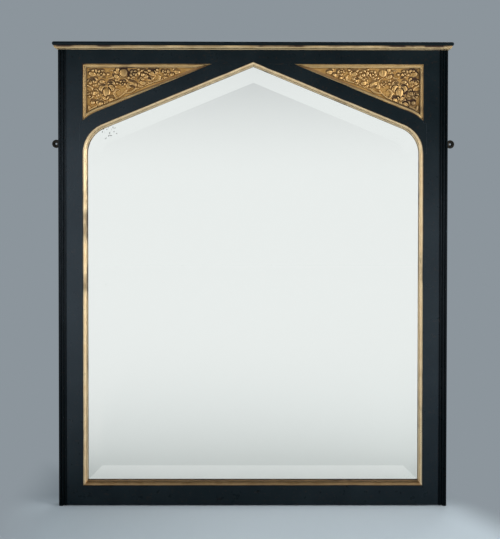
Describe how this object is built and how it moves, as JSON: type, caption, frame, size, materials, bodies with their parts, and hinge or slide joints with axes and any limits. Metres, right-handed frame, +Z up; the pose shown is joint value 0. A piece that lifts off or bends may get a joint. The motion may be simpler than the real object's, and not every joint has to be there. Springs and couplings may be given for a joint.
{
  "type": "overmantel mirror",
  "caption": "Tall overmantel mirror: flat ebonised frame with a pointed-arch head, bevelled plate in a gilt slip, carved gilt spandrels, a gilt cornice moulding and side wall plates.",
  "frame": {"origin": "middle of the overall box at the floor, under the feet of the reeded mouldings", "axes": "+X to the viewer's right across the frame, +Y from the front to the back, +Z up; the mirror faces -Y"},
  "size_m": [1.066, 0.052, 1.219],
  "materials": {
    "ebonised_wood": "black-stained close-grained hardwood under shellac polish, satin",
    "gilding": "aged gold leaf over bole and gesso on carved or moulded wood",
    "gilt_ground": "aged gilding in the recesses of the carving, toned brown",
    "mirror_glass": "silvered plate glass with a wide polished bevel and light foxing",
    "pine": "unfinished old softwood, sawn and planed",
    "peg_wood": "riven hardwood pegs, cut flush",
    "wall_plate_brass": "dark tarnished sheet brass",
    "screw_steel": "old slotted steel screws, dulled"
  },
  "bodies": {
    "root": {"left_stile": "ebonised_wood", "right_stile": "ebonised_wood", "top_rail": "ebonised_wood", "bottom_rail": "ebonised_wood", "left_arch_brace": "ebonised_wood", "right_arch_brace": "ebonised_wood", "left_reeded_moulding": "ebonised_wood", "right_reeded_moulding": "ebonised_wood", "cornice_cap": "ebonised_wood", "cornice_front_moulding": "gilding", "cornice_left_return": "gilding", "cornice_right_return": "gilding", "left_slip": "gilding", "right_slip": "gilding", "bottom_slip": "gilding", "left_arch_slip": "gilding", "right_arch_slip": "gilding", "left_spandrel_panel": "gilt_ground", "left_spandrel_top_border": "gilding", "left_spandrel_side_border": "gilding", "left_spandrel_arch_border": "gilding", "left_spandrel_foliage": "gilding", "right_spandrel_panel": "gilt_ground", "right_spandrel_top_border": "gilding", "right_spandrel_side_border": "gilding", "right_spandrel_arch_border": "gilding", "right_spandrel_foliage": "gilding", "mirror_plate": "mirror_glass", "plate_blocks": "pine", "spandrel_blocks": "pine", "backboard_1": "pine", "backboard_2": "pine", "backboard_3": "pine", "backboard_4": "pine", "backboard_5": "pine", "backboard_screws": "screw_steel", "left_wall_plate": "wall_plate_brass", "right_wall_plate": "wall_plate_brass", "wall_plate_screws": "screw_steel", "tenon_pegs": "peg_wood", "cap_screws": "screw_steel"}
  },
  "joints": []
}
